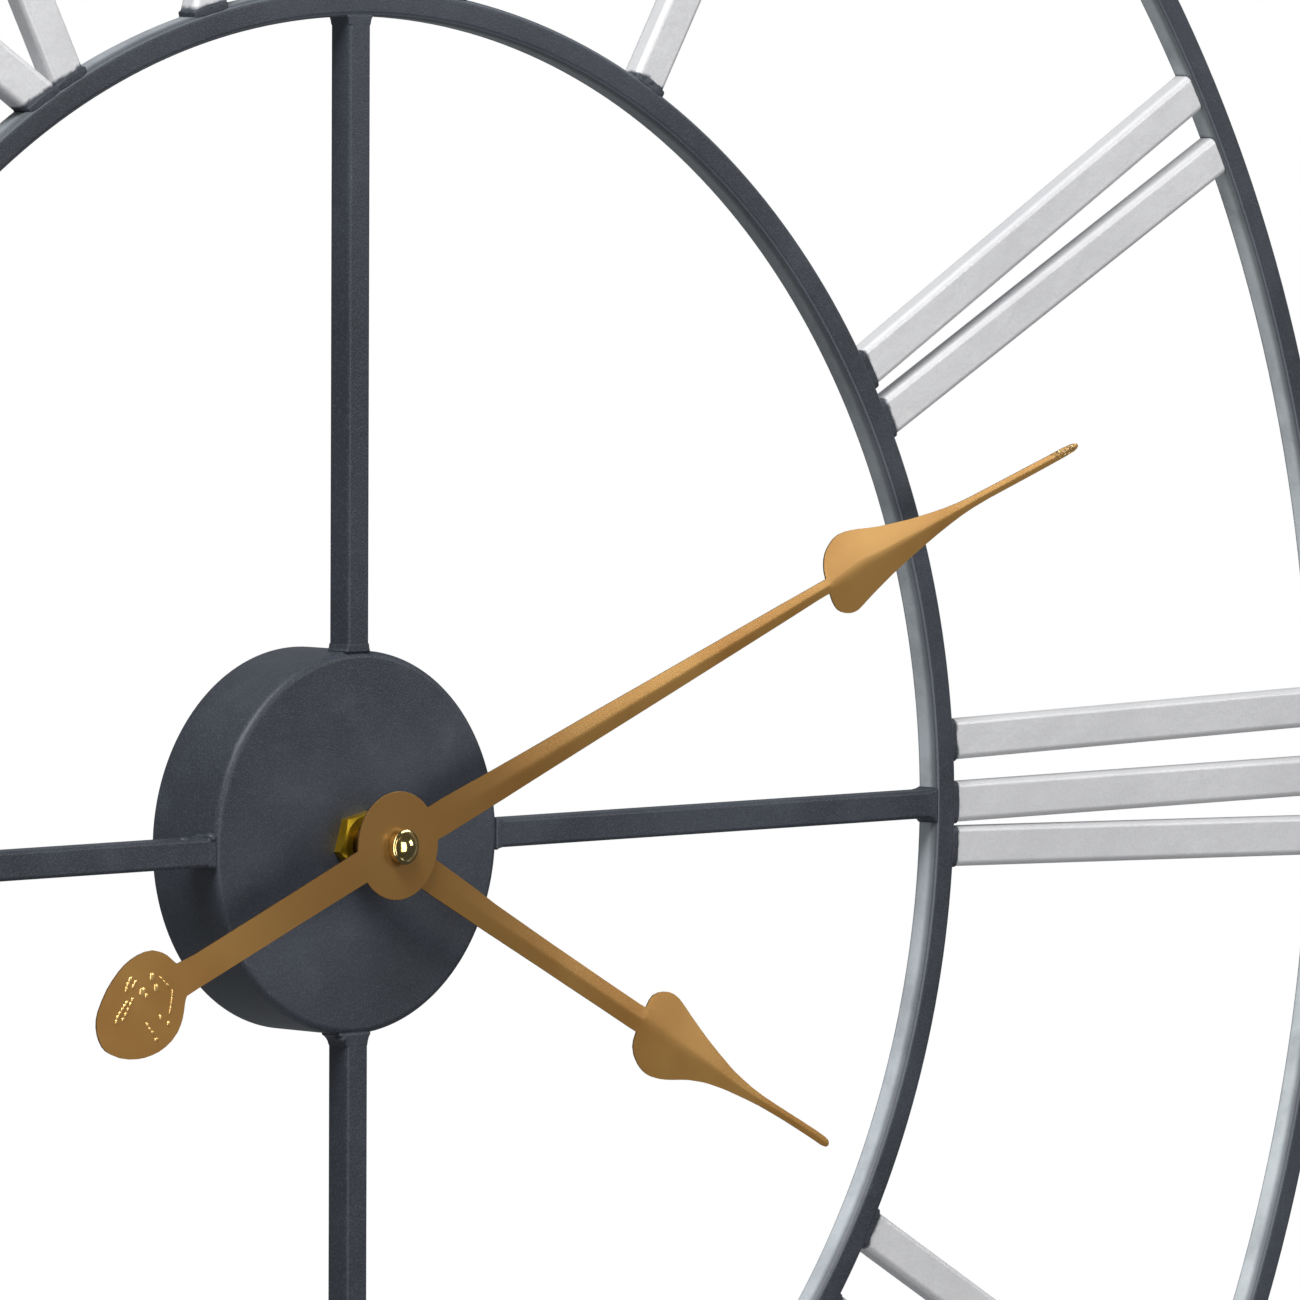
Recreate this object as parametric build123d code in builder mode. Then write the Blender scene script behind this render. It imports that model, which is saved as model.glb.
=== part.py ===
"""Skeleton wall clock: two steel rings joined by welded numerals, a pressed hub cup that
houses a quartz movement, and two folded sheet hands.

The clock faces -Y and hangs in the XZ plane. The wall is the plane y = 0 and the hands
turn about the Y axis. Clock angles are degrees clockwise from twelve, seen from the front.
All lengths are millimetres."""

import math
import os

from build123d import *

# Dial and frame
dial_radius = 300.0
bar_size = 6.0
bar_corner = 1.2
inner_ring_radius = 176.3
spoke_corner = 0.8
hub_skin = 1.0
hub_room = 1.466
hub_front_corner = 1.5

# Numerals, cut from flat bar
stroke_width = 8.7
stroke_depth = 5.0
stroke_corner = 1.3
stroke_setback = 0.8
weld_gap = 0.05

# Wall hanger, bent from strip
strip = 2.0
hanger_width = 34.0
hanger_height = 26.0
keyhole_radius = 4.5
keyhole_slot = 4.5
keyhole_rise = 8.0

# Hands, pressed from sheet
sheet = 0.4
boss_radius = 11.5
hour_boss_radius = 10.4
fold_angle = 7.5
hour_angle = 119.05
minute_angle = 68.5
hour_standoff = 10.6
minute_standoff = 12.4

# Movement case
case_side = 55.0
case_corner = 4.0
case_thickness = 16.0
case_plate = 2.0
case_wall = 1.2
case_to_wall = 1.3
washer_thickness = 1.0
washer_radius = 12.0

# Arbors and bush
arbor_radius = 1.65
thread_radius = 1.2
pipe_radius = 2.55
bush_radius = 4.0
bush_reach = 5.0
bush_flange = 0.35
running_clearance = 0.05
free_clearance = 0.3
nut_across_flats = 12.0
nut_thickness = 2.5

# Motion work: twelve turns of the minute arbor to one of the hour wheel
cannon_teeth = 12
motion_wheel_teeth = 36
motion_pinion_teeth = 10
hour_wheel_teeth = 40
wheel_module = 0.375
pinion_module = 0.36
motion_post_radius = 1.0

# Battery, AA size
battery_radius = 7.1
battery_length = 49.5
battery_button = 1.0
contact_thickness = 0.5
contact_depth = 11.0
contact_height = 9.0

# Sizes that follow from the ones above
hub_depth = hub_skin + washer_thickness + case_thickness + case_to_wall
case_reach = (case_side / 2 - case_corner) * math.sqrt(2) + case_corner
hub_radius = case_reach + hub_room + hub_skin
ring_front = -hub_depth
ring_back = ring_front + bar_size
ring_middle = ring_front + bar_size / 2
outer_ring_inside = dial_radius - bar_size
inner_ring_inside = inner_ring_radius - bar_size
hub_inside_front = ring_front + hub_skin
hour_hand_back = ring_front - hour_standoff
minute_hand_back = ring_front - minute_standoff
hour_hand_front = hour_hand_back - sheet
minute_hand_front = minute_hand_back - sheet
case_front = hub_inside_front + washer_thickness
case_back = case_front + case_thickness
plate_back = case_front + case_plate
pipe_bore = arbor_radius + running_clearance
bush_bore = pipe_radius + running_clearance
gear_distance = wheel_module * (cannon_teeth + motion_wheel_teeth) / 2
knob_x = 2 * gear_distance

os.makedirs("parts", exist_ok=True)


def save(builder, name):
    builder.part.label = name
    export_step(builder.part, f"parts/{name}.step")


def front_plane(y):
    """Plane seen from the front: x to the right, y up, extrusions grow towards the viewer."""
    return Plane(origin=(0, y, 0), x_dir=(1, 0, 0), z_dir=(0, -1, 0))


def hand_plane(angle, y):
    """Front plane turned so that its y axis points along a hand."""
    turn = math.radians(angle)
    return Plane(origin=(0, y, 0), x_dir=(math.cos(turn), 0, -math.sin(turn)), z_dir=(0, -1, 0))


def on_dial(radius, angle):
    turn = math.radians(angle)
    return Vector(radius * math.sin(turn), 0, radius * math.cos(turn))


def space_between(inside, outside):
    """The room between two cylinders about the hands' axis, which trims a piece to length."""
    with BuildPart() as room:
        with BuildSketch(front_plane(0)):
            Circle(outside)
            Circle(inside, mode=Mode.SUBTRACT)
        extrude(amount=hub_depth)
    return room.part


# ---------------------------------------------------------------- frame

def square_ring(outside):
    with BuildPart() as ring:
        with BuildSketch(Plane.XY):
            with Locations((outside - bar_size / 2, ring_middle)):
                RectangleRounded(bar_size, bar_size, bar_corner)
        revolve(axis=Axis.Y)
    return ring


save(square_ring(dial_radius), "outer_ring")
save(square_ring(inner_ring_radius), "inner_ring")

for name, angle in (("spoke_top", 0), ("spoke_right", 90), ("spoke_bottom", 180), ("spoke_left", 270)):
    foot = on_dial(hub_radius - 5, angle)
    with BuildPart() as spoke:
        with BuildSketch(Plane(origin=foot + Vector(0, ring_middle, 0), x_dir=(0, 1, 0), z_dir=foot)):
            RectangleRounded(bar_size, bar_size, spoke_corner)
        extrude(amount=inner_ring_radius - hub_radius + 5)
        add(space_between(hub_radius, inner_ring_inside), mode=Mode.INTERSECT)
    save(spoke, name)

with BuildPart() as hub_cup:
    with BuildSketch(Plane.XY):
        with BuildLine():
            Polyline(
                (bush_radius, ring_front),
                (hub_radius, ring_front),
                (hub_radius, 0),
                (hub_radius - hub_skin, 0),
                (hub_radius - hub_skin, hub_inside_front),
                (bush_radius, hub_inside_front),
                close=True,
            )
        make_face()
    revolve(axis=Axis.Y)
    outer_rim = hub_cup.edges().filter_by(GeomType.CIRCLE).filter_by(
        lambda edge: abs(edge.radius - hub_radius) < 0.01 and abs(edge.center().Y - ring_front) < 0.01)
    fillet(outer_rim, hub_front_corner)
save(hub_cup, "hub_cup")


# ---------------------------------------------------------------- numerals

cross_foot = 7.4
cross_head = 4.4
vee_foot = 1.6
vee_head = 4.9


numeral_band = space_between(inner_ring_radius, outer_ring_inside)


def stroke(foot_angle, head_angle, extra=0.0):
    """One length of flat bar from the inner ring (foot) to the outer ring (head)."""
    foot = on_dial(inner_ring_radius, foot_angle)
    head = on_dial(outer_ring_inside, head_angle)
    along = (head - foot).normalized()
    overrun = 6
    start = foot - along * overrun + Vector(0, ring_front + stroke_setback + stroke_depth / 2, 0)
    with BuildPart() as piece:
        with BuildSketch(Plane(origin=start, x_dir=(0, 1, 0), z_dir=along)):
            RectangleRounded(stroke_depth + 2 * extra, stroke_width + 2 * extra, stroke_corner)
        extrude(amount=(head - foot).length + 2 * overrun)
        add(numeral_band, mode=Mode.INTERSECT)
    return piece.part


def cut_stroke(foot_angle, head_angle, passing):
    """A stroke in two halves, butted against the stroke that passes through it."""
    with BuildPart() as piece:
        add(stroke(foot_angle, head_angle))
        add(stroke(*passing, extra=weld_gap), mode=Mode.SUBTRACT)
    return piece.part


def upright(*angles):
    return [stroke(angle, angle) for angle in angles]


def vee(angle):
    return [
        stroke(angle - vee_foot, angle - vee_head),
        stroke(angle + vee_foot, angle + vee_head),
    ]


def cross(angle):
    passing = (angle - cross_foot, angle + cross_head)
    return [stroke(*passing), cut_stroke(angle + cross_foot, angle - cross_head, passing)]


numerals = {
    1: [stroke(28.3, 29.4)],
    2: [stroke(57.8, 58.7), stroke(61.8, 61.8)],
    3: [stroke(85.6, 86.9), stroke(90.0, 89.9), stroke(93.1, 92.5)],
    4: [stroke(120.9, 120.8)] + vee(129.2),
    5: vee(150.0),
    6: vee(178.5) + upright(186.3),
    7: vee(206.8) + upright(214.6, 218.3),
    8: vee(234.6) + upright(242.4, 246.1, 249.8),
    9: upright(261.6) + cross(272.2),
    10: cross(300.0),
    11: cross(323.4) + [stroke(333.5, 332.9)],
    12: cross(354.0) + upright(364.7, 368.5),
}

for hour, strokes in numerals.items():
    with BuildPart() as numeral:
        for piece in strokes:
            add(piece)
    save(numeral, f"numeral_{hour:02d}")


# ---------------------------------------------------------------- wall hanger

hanger_high = dial_radius - 1.5
hanger_low = hanger_high - hanger_height
keyhole_z = hanger_low + 9.0
flange_middle = math.sqrt((dial_radius - bar_size / 2) ** 2 - (hanger_width / 2 - strip / 2) ** 2)

with BuildPart() as hanger:
    with BuildSketch(front_plane(0)):
        with Locations((0, (hanger_low + hanger_high) / 2)):
            RectangleRounded(hanger_width, hanger_height, 1.0)
    extrude(amount=strip)
    for side in (-1, 1):
        with BuildSketch(Plane(origin=(side * (hanger_width / 2 - strip / 2), 0, 0),
                               x_dir=(0, 1, 0), z_dir=(1, 0, 0))):
            with BuildLine():
                Polyline(
                    (-strip / 2, hanger_low + 1),
                    (ring_back, flange_middle - 2.5),
                    (ring_back, flange_middle + 2.5),
                    (-strip / 2, hanger_high - 1),
                    close=True,
                )
            make_face()
        extrude(amount=strip / 2, both=True)
    with BuildSketch(front_plane(0)):
        with Locations((0, keyhole_z)):
            Circle(keyhole_radius)
        with Locations((0, keyhole_z + keyhole_rise / 2)):
            SlotCenterToCenter(keyhole_rise, keyhole_slot, rotation=90)
    extrude(amount=strip, mode=Mode.SUBTRACT)
save(hanger, "hanger_bracket")


# ---------------------------------------------------------------- hands

def folded_sheet(angle, back):
    """Sheet that is flat at the boss and folds along the hand into two sloping halves."""
    flat_to = 14.0
    folded_from = 60.0
    reach = dial_radius
    half = boss_radius + 3
    plane = hand_plane(angle, back)
    direction = plane.y_dir
    origin = plane.origin

    def section(distance, drop):
        with BuildSketch(Plane(origin=origin + direction * distance, x_dir=plane.x_dir,
                               z_dir=direction)) as chevron:
            with BuildLine():
                Polyline(
                    (0, -sheet), (half, drop - sheet), (half, drop),
                    (0, 0), (-half, drop), (-half, drop - sheet),
                    close=True,
                )
            make_face()
        return chevron.sketch

    full_drop = half * math.tan(math.radians(fold_angle))
    with BuildPart() as blank:
        with BuildSketch(plane):
            with Locations((0, (flat_to - reach) / 2)):
                Rectangle(2 * half, flat_to + reach)
        extrude(amount=sheet)
        loft([section(flat_to, 0.02), section(folded_from, full_drop)], ruled=True)
        extrude(section(folded_from, full_drop), amount=reach)
    return blank.part


def hand_tip(half_width, length):
    return ThreePointArc(
        (half_width, length - half_width),
        (half_width * math.sin(math.radians(45)), length - half_width * (1 - math.cos(math.radians(45)))),
        (0, length),
    )


hour_spade = [
    (2.9, 83.0), (3.9, 82.3), (6.3, 83.5), (8.1, 85.9), (9.1, 89.2), (8.7, 92.3), (7.5, 95.4),
    (5.5, 100.9), (3.9, 106.5), (2.7, 111.3), (1.8, 117.0), (1.2, 123.0), (1.1, 130.0),
]
minute_spade = [
    (1.75, 134.9), (2.6, 134.3), (5.2, 135.1), (7.3, 137.2), (8.6, 140.8), (8.2, 144.4),
    (5.9, 151.3), (4.4, 157.8), (3.1, 163.8), (1.85, 171.2), (1.15, 179.0), (0.95, 190.0),
]
minute_paddle = [
    (0, -90.0), (3.9, -88.0), (6.8, -85.2), (9.1, -81.4), (10.1, -76.8), (9.9, -72.3),
    (8.6, -68.8), (6.4, -66.5), (3.7, -65.4),
]
hour_length = 145.5
minute_length = 215.3

with BuildPart() as hour_hand:
    with BuildSketch(hand_plane(hour_angle, hour_hand_back)):
        with BuildLine():
            Line((0, 0), (3.5, 0))
            Line((3.5, 0), hour_spade[0])
            Spline(*hour_spade)
            Line(hour_spade[-1], (1.1, hour_length - 1.1))
            hand_tip(1.1, hour_length)
            Line((0, hour_length), (0, 0))
        make_face()
        mirror(about=Plane.YZ)
        Circle(hour_boss_radius)
        Circle(pipe_radius, mode=Mode.SUBTRACT)
    extrude(amount=3, both=True)
    add(folded_sheet(hour_angle, hour_hand_back), mode=Mode.INTERSECT)
save(hour_hand, "hour_hand")

with BuildPart() as minute_hand:
    with BuildSketch(hand_plane(minute_angle, minute_hand_back)):
        with BuildLine():
            Spline(*minute_paddle)
            Line(minute_paddle[-1], (3.8, 0))
            Line((3.8, 0), minute_spade[0])
            Spline(*minute_spade)
            Line(minute_spade[-1], (0.95, minute_length - 0.95))
            hand_tip(0.95, minute_length)
            Line((0, minute_length), minute_paddle[0])
        make_face()
        mirror(about=Plane.YZ)
        Circle(boss_radius)
        Circle(thread_radius, mode=Mode.SUBTRACT)
    extrude(amount=3, both=True)
    add(folded_sheet(minute_angle, minute_hand_back), mode=Mode.INTERSECT)
save(minute_hand, "minute_hand")

collet_length = 2.4
with BuildPart() as hour_collet:
    with BuildSketch(front_plane(hour_hand_back + collet_length)):
        Circle(bush_radius)
        Circle(pipe_radius, mode=Mode.SUBTRACT)
    extrude(amount=collet_length)
save(hour_collet, "hour_collet")

cap_flange = 3.65
cap_dome = 3.1
cap_rim = 1.6
cap_chamfer = 0.25
cap_height = 3.4
thread_end = minute_hand_front - 1.9
dome_rise = cap_height - cap_rim - cap_chamfer
dome_radius = (cap_dome ** 2 + dome_rise ** 2) / (2 * dome_rise)
dome_centre = minute_hand_front - cap_height + dome_radius
dome_half = math.asin(cap_dome / dome_radius) / 2
with BuildPart() as cap_nut:
    with BuildSketch(Plane.XY):
        with BuildLine():
            Polyline((0, minute_hand_front), (cap_flange, minute_hand_front),
                     (cap_flange, minute_hand_front - cap_rim),
                     (cap_dome, minute_hand_front - cap_rim - cap_chamfer))
            ThreePointArc(
                (cap_dome, minute_hand_front - cap_rim - cap_chamfer),
                (dome_radius * math.sin(dome_half), dome_centre - dome_radius * math.cos(dome_half)),
                (0, minute_hand_front - cap_height),
            )
            Line((0, minute_hand_front - cap_height), (0, minute_hand_front))
        make_face()
    revolve(axis=Axis.Y)
    with BuildSketch(front_plane(minute_hand_front)):
        Circle(thread_radius)
    extrude(amount=minute_hand_front - thread_end, mode=Mode.SUBTRACT)
save(cap_nut, "cap_nut")


# ---------------------------------------------------------------- motion work

def gear_points(teeth, size, start_angle, tip=0.85, root=1.2, share=0.42):
    """Involute wheel outline. start_angle is where the first tooth points, in degrees
    anticlockwise from +x; share is the part of a pitch that the tooth fills."""
    pitch_radius = teeth * size / 2
    base_radius = pitch_radius * math.cos(math.radians(20))
    tip_radius = pitch_radius + tip * size
    root_radius = pitch_radius - root * size

    def involute(radius):
        pressure = math.acos(min(1, base_radius / radius))
        return math.tan(pressure) - pressure

    def half_angle(radius):
        return share * math.pi / teeth + involute(pitch_radius) - involute(max(radius, base_radius))

    flank = [root_radius, max(base_radius, root_radius + 0.01), pitch_radius, tip_radius]
    points = []
    for tooth in range(teeth):
        middle = math.radians(start_angle) + 2 * math.pi * tooth / teeth
        for side, radii in ((-1, flank), (1, reversed(flank))):
            for radius in radii:
                angle = middle + side * half_angle(radius)
                points.append((radius * math.cos(angle), radius * math.sin(angle)))
    return points


def wheel_solid(points, centre_x, back, front):
    with BuildPart() as wheel:
        with BuildSketch(front_plane(back)):
            with BuildLine():
                Polyline(*[(x + centre_x, z) for x, z in points], close=True)
            make_face()
        extrude(amount=back - front)
    return wheel.part


level = case_front + case_plate
hour_wheel_front = level + 0.7
hour_wheel_back = hour_wheel_front + 1.2
motion_pinion_back = hour_wheel_back + 0.4
motion_wheel_front = motion_pinion_back
motion_wheel_back = motion_wheel_front + 1.2
cannon_front = motion_wheel_front - 0.2
cannon_back = motion_wheel_back + 0.2
arbor_back = case_back - case_wall - 0.5

half_pitch = 180 / motion_pinion_teeth

with BuildPart() as hour_wheel:
    add(wheel_solid(gear_points(hour_wheel_teeth, pinion_module, 0), 0, hour_wheel_back, hour_wheel_front))
    with BuildSketch(front_plane(hour_wheel_front)):
        Circle(pipe_radius)
    extrude(amount=hour_wheel_front - hour_hand_front)
    with BuildSketch(front_plane(hour_wheel_back)):
        Circle(pipe_bore)
    extrude(amount=hour_wheel_back - hour_hand_front, mode=Mode.SUBTRACT)
save(hour_wheel, "hour_wheel")

with BuildPart() as motion_wheel:
    add(wheel_solid(
        gear_points(motion_wheel_teeth, wheel_module, 180 / motion_wheel_teeth),
        gear_distance, motion_wheel_back, motion_wheel_front))
    add(wheel_solid(
        gear_points(motion_pinion_teeth, pinion_module, 180 + half_pitch),
        gear_distance, motion_pinion_back, hour_wheel_front - 0.1))
    with BuildSketch(front_plane(motion_wheel_back)):
        with Locations((gear_distance, 0)):
            Circle(motion_post_radius + running_clearance)
    extrude(amount=4, mode=Mode.SUBTRACT)
save(motion_wheel, "motion_wheel")

with BuildPart() as minute_arbor:
    add(wheel_solid(gear_points(cannon_teeth, wheel_module, 0), 0, cannon_back, cannon_front))
    with BuildSketch(front_plane(arbor_back)):
        Circle(arbor_radius)
    extrude(amount=arbor_back - minute_hand_back)
    with BuildSketch(front_plane(minute_hand_back)):
        Circle(thread_radius)
    extrude(amount=minute_hand_back - thread_end)
save(minute_arbor, "minute_arbor")

knob_radius = 6.0
knob_back = case_back - free_clearance
knob_thickness = 2.8
knob_shaft = 1.25
knob_grips = 24
with BuildPart() as setting_knob:
    add(wheel_solid(gear_points(cannon_teeth, wheel_module, 180), knob_x, cannon_back, cannon_front))
    with BuildSketch(front_plane(knob_back)):
        with Locations((knob_x, 0)):
            Circle(knob_radius)
        with Locations((knob_x, 0)):
            with PolarLocations(knob_radius, knob_grips):
                Circle(0.35, mode=Mode.SUBTRACT)
    extrude(amount=knob_thickness)
    with BuildSketch(front_plane(knob_back)):
        with Locations((knob_x, 0)):
            Circle(knob_shaft)
    extrude(amount=knob_back - level - 0.4)
save(setting_knob, "setting_knob")


# ---------------------------------------------------------------- movement

battery_z = -(case_side / 2 - case_wall - free_clearance - battery_radius)
battery_y = level + free_clearance + battery_radius
bay_top = battery_z + battery_radius + free_clearance
bay_bottom = battery_z - battery_radius - free_clearance
bay_half_length = case_side / 2 - case_wall
knob_pocket = knob_radius + 0.5
knob_pocket_floor = knob_back - knob_thickness - 0.4


def case_block(front, back, inset=0.0):
    with BuildPart() as block:
        with BuildSketch(front_plane(back)):
            RectangleRounded(case_side - 2 * inset, case_side - 2 * inset, case_corner - inset)
        extrude(amount=back - front)
    return block.part


with BuildPart() as front_case:
    add(case_block(case_front, level))
    with BuildSketch(front_plane(level)):
        Circle(bush_radius)
    extrude(amount=case_plate, mode=Mode.SUBTRACT)
    with BuildSketch(front_plane(level + 4.3)):
        with Locations((gear_distance, 0)):
            Circle(motion_post_radius)
    extrude(amount=4.3 + case_plate / 2)
save(front_case, "movement_front_case")

with BuildPart() as rear_case:
    add(case_block(level, case_back))
    with BuildSketch(front_plane(case_back - case_wall)):
        with Locations((0, (bay_top + case_wall + case_side / 2 - case_wall) / 2)):
            RectangleRounded(case_side - 2 * case_wall, case_side / 2 - 2 * case_wall - bay_top, 2.0)
    extrude(amount=case_thickness, mode=Mode.SUBTRACT)
    with BuildSketch(front_plane(case_back)):
        with Locations((0, battery_z)):
            Rectangle(2 * bay_half_length, bay_top - bay_bottom)
    extrude(amount=case_thickness, mode=Mode.SUBTRACT)
    with BuildSketch(front_plane(case_back)):
        with Locations((knob_x, 0)):
            Circle(knob_pocket + case_wall)
    extrude(amount=case_back - knob_pocket_floor + case_wall)
    with BuildSketch(front_plane(case_back)):
        with Locations((knob_x, 0)):
            Circle(knob_pocket)
    extrude(amount=case_back - knob_pocket_floor, mode=Mode.SUBTRACT)
    with BuildSketch(front_plane(case_back - case_wall)):
        Circle(arbor_radius + 2)
        Circle(arbor_radius + running_clearance, mode=Mode.SUBTRACT)
    extrude(amount=3.5)
    with BuildSketch(front_plane(case_back)):
        with Locations((knob_x, 0)):
            Circle(knob_shaft + running_clearance)
    extrude(amount=case_thickness, mode=Mode.SUBTRACT)
save(rear_case, "movement_rear_case")

bush_front = ring_front - bush_reach
with BuildPart() as threaded_bush:
    with BuildSketch(front_plane(level + bush_flange)):
        Circle(bush_radius + 2)
    extrude(amount=bush_flange)
    with BuildSketch(front_plane(level)):
        Circle(bush_radius)
    extrude(amount=level - bush_front)
    with BuildSketch(front_plane(level + bush_flange)):
        Circle(bush_bore)
    extrude(amount=hub_depth, mode=Mode.SUBTRACT)
    chamfer(threaded_bush.faces().sort_by(Axis.Y)[0].outer_wire().edges(), 0.3)
save(threaded_bush, "threaded_bush")

with BuildPart() as hex_nut:
    with BuildSketch(front_plane(ring_front)):
        RegularPolygon(nut_across_flats / 2, 6, major_radius=False, rotation=12)
        Circle(bush_radius, mode=Mode.SUBTRACT)
    extrude(amount=nut_thickness)
    with BuildSketch(Plane.XY):
        with BuildLine():
            nut_corner = nut_across_flats / math.sqrt(3)
            Polyline((0, ring_front), (nut_corner, ring_front),
                     (nut_corner, ring_front - nut_thickness + 0.8),
                     (nut_across_flats / 2 - 0.2, ring_front - nut_thickness),
                     (0, ring_front - nut_thickness), close=True)
        make_face()
    revolve(axis=Axis.Y, mode=Mode.INTERSECT)
save(hex_nut, "hex_nut")

with BuildPart() as rubber_washer:
    with BuildSketch(front_plane(case_front)):
        Circle(washer_radius)
        Circle(bush_radius, mode=Mode.SUBTRACT)
    extrude(amount=washer_thickness)
save(rubber_washer, "rubber_washer")

with BuildPart() as battery:
    with BuildSketch(Plane(origin=(-battery_length / 2 - battery_button / 2, battery_y, battery_z),
                           x_dir=(0, 1, 0), z_dir=(1, 0, 0))):
        Circle(battery_radius)
    extrude(amount=battery_length)
    fillet(battery.edges().filter_by(GeomType.CIRCLE), 0.5)
    with BuildSketch(Plane(origin=(battery_length / 2 - battery_button / 2, battery_y, battery_z),
                           x_dir=(0, 1, 0), z_dir=(1, 0, 0))):
        Circle(2.75)
    extrude(amount=battery_button)
save(battery, "battery_cell")

for name, side in (("contact_plus", 1), ("contact_minus", -1)):
    with BuildPart() as contact:
        with BuildSketch(Plane(origin=(side * bay_half_length, battery_y, battery_z),
                               x_dir=(0, 1, 0), z_dir=(-side, 0, 0))):
            RectangleRounded(contact_depth, contact_height, 1.0)
        extrude(amount=contact_thickness)
    save(contact, name)
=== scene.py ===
import math

import bmesh
import bpy
from mathutils import Matrix, Vector


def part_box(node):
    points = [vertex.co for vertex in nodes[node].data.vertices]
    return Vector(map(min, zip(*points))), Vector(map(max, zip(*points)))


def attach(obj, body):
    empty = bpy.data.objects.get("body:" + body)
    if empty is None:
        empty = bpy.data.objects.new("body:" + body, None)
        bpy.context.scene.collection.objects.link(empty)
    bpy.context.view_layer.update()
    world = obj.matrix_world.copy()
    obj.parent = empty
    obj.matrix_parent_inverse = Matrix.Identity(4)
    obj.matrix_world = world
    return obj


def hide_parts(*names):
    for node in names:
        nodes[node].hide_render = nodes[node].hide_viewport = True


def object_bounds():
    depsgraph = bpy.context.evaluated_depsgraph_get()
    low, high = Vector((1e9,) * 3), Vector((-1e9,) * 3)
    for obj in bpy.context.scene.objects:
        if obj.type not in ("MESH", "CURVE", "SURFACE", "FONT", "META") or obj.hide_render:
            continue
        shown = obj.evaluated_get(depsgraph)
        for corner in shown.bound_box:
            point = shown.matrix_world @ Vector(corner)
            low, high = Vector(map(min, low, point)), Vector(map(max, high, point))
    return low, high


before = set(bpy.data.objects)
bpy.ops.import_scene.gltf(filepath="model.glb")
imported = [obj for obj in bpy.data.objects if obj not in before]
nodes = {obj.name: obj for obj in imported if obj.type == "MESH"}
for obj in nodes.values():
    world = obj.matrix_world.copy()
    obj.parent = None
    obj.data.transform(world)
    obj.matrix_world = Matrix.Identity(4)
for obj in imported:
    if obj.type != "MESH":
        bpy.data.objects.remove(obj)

cadLow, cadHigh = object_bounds()
_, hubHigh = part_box("hub_cup")
innerLow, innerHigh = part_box("inner_ring")
_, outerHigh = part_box("outer_ring")
hubRadius = hubHigh.x
innerRadius = innerHigh.x
outerRadius = outerHigh.x
barSize = innerHigh.y - innerLow.y
mm = 0.001
print("frame loaded,", len(nodes), "nodes")


# camera, standing left of the clock and level with the hub
cameraSpot = {
    "place": (-1.7556, -1.9096, 0.1949),
    "yaw": 44.2159,  # degrees, turned from +Y towards +X
    "pitch": -3.43405,
    "roll": 0.24465,
    "lens": 347.2,
    "sensor": 36.0,
}


def placeCamera(spot):
    yaw, pitch, roll = (math.radians(spot[key]) for key in ("yaw", "pitch", "roll"))
    ahead = Vector((math.sin(yaw) * math.cos(pitch), math.cos(yaw) * math.cos(pitch), math.sin(pitch)))
    right = Vector((math.cos(yaw), -math.sin(yaw), 0))
    up = right.cross(ahead)
    side = math.cos(roll) * right + math.sin(roll) * up
    top = math.cos(roll) * up - math.sin(roll) * right
    data = bpy.data.cameras.new("clockCamera")
    camera = bpy.data.objects.new("clockCamera", data)
    bpy.context.scene.collection.objects.link(camera)
    turned = Matrix((side, top, -ahead)).transposed().to_4x4()
    camera.matrix_world = Matrix.Translation(spot["place"]) @ turned
    data.lens = spot["lens"]
    data.sensor_width = spot["sensor"]
    data.clip_start, data.clip_end = 0.05, 50
    bpy.context.scene.camera = camera


placeCamera(cameraSpot)
bpy.context.scene.view_settings.view_transform = "Standard"
print("camera placed")


# finishes: a wire wraps a socket and turns Python sums into Math nodes
class Wire:
    def __init__(self, finish, socket):
        self.finish, self.socket = finish, socket

    def sum(self, operation, *values):
        return self.finish.node("ShaderNodeMath", {"operation": operation}, dict(enumerate(values)))

    def __add__(self, other):
        return self.sum("ADD", self, other)

    def __sub__(self, other):
        return self.sum("SUBTRACT", self, other)

    def __rsub__(self, other):
        return self.sum("SUBTRACT", other, self)

    def __mul__(self, other):
        return self.sum("MULTIPLY", self, other)

    def __truediv__(self, other):
        return self.sum("DIVIDE", self, other)

    def __rtruediv__(self, other):
        return self.sum("DIVIDE", other, self)

    def __abs__(self):
        return self.sum("ABSOLUTE", self)

    __radd__ = __add__
    __rmul__ = __mul__

    def larger(self, other):
        return self.sum("MAXIMUM", self, other)


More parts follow.
